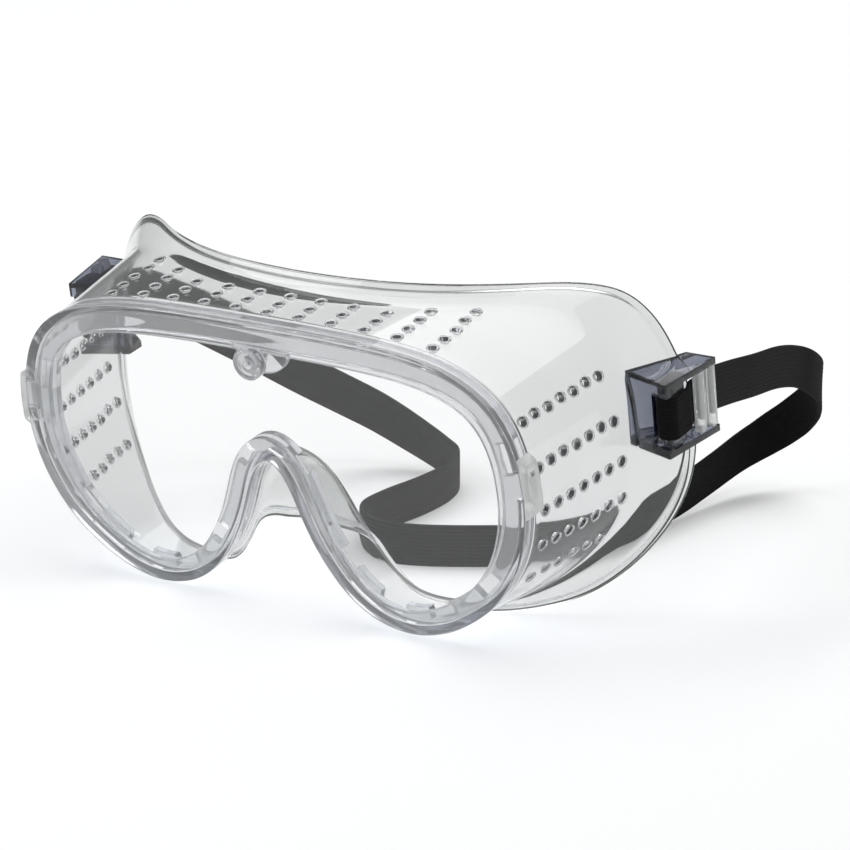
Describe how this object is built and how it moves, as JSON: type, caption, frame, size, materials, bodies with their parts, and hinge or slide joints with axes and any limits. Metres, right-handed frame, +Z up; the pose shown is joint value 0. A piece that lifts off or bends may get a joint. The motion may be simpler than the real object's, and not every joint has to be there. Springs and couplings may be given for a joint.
{
  "type": "safety goggles",
  "caption": "Direct-vent safety goggles: soft clear one-piece face moulding with vent holes, clear snap-in lens, strap lugs and a black elastic headband lying loose behind.",
  "frame": {"origin": "centre of the bounding box's footprint, on the surface the goggles rest on", "axes": "+Z up; -Y the way the lens faces; +X the wearer's left"},
  "size_m": [0.208, 0.19, 0.0953],
  "materials": {
    "clear_moulding": "clear soft vinyl, glossy",
    "lens_sheet": "clear polycarbonate, glossy",
    "webbing": "ribbed elastic webbing"
  },
  "bodies": {
    "moulding": {"button": "clear_moulding", "ear": "clear_moulding", "flange_cheek_left": "clear_moulding", "flange_cheek_right": "clear_moulding", "flange_nose": "clear_moulding", "flange_side_left": "clear_moulding", "flange_side_right": "clear_moulding", "flange_top": "clear_moulding", "ledge_cheek_left": "clear_moulding", "ledge_cheek_right": "clear_moulding", "ledge_nose": "clear_moulding", "ledge_side_left": "clear_moulding", "ledge_side_right": "clear_moulding", "ledge_top": "clear_moulding", "lip_cheek_left": "clear_moulding", "lip_cheek_right": "clear_moulding", "lip_nose": "clear_moulding", "lip_side_left": "clear_moulding", "lip_side_right": "clear_moulding", "lip_top": "clear_moulding", "lug_bar_inner_left": "clear_moulding", "lug_bar_inner_right": "clear_moulding", "lug_bar_outer_left": "clear_moulding", "lug_bar_outer_right": "clear_moulding", "lug_left": "clear_moulding", "lug_right": "clear_moulding", "strap_floor_left": "webbing", "strap_floor_mid": "webbing", "strap_fold": "webbing", "strap_loop_left": "webbing", "strap_loop_right": "webbing", "strap_lug_run_left": "webbing", "strap_lug_run_right": "webbing", "strap_post_left": "clear_moulding", "strap_post_right": "clear_moulding", "strap_rise": "webbing", "tab_boss_left": "clear_moulding", "tab_boss_right": "clear_moulding", "wall_cheek_left": "clear_moulding", "wall_cheek_right": "clear_moulding", "wall_nose": "clear_moulding", "wall_side_left": "clear_moulding", "wall_side_right": "clear_moulding", "wall_top": "clear_moulding", "web_cheek_left": "clear_moulding", "web_cheek_right": "clear_moulding", "web_nose": "clear_moulding", "web_side_lower_left": "clear_moulding", "web_side_lower_right": "clear_moulding", "web_side_upper_left": "clear_moulding", "web_side_upper_right": "clear_moulding", "web_top": "clear_moulding"},
    "lens": {"lens": "lens_sheet"}
  },
  "joints": [
    {"name": "lens_release", "type": "slide", "parent": "moulding", "child": "lens", "axis": [0, -0.9848, -0.1736], "range_m": [0, 0.022], "deforming": ["button", "lip_cheek_left", "lip_cheek_right", "lip_nose", "lip_side_left", "lip_side_right", "lip_top", "tab_boss_left", "tab_boss_right"]}
  ]
}
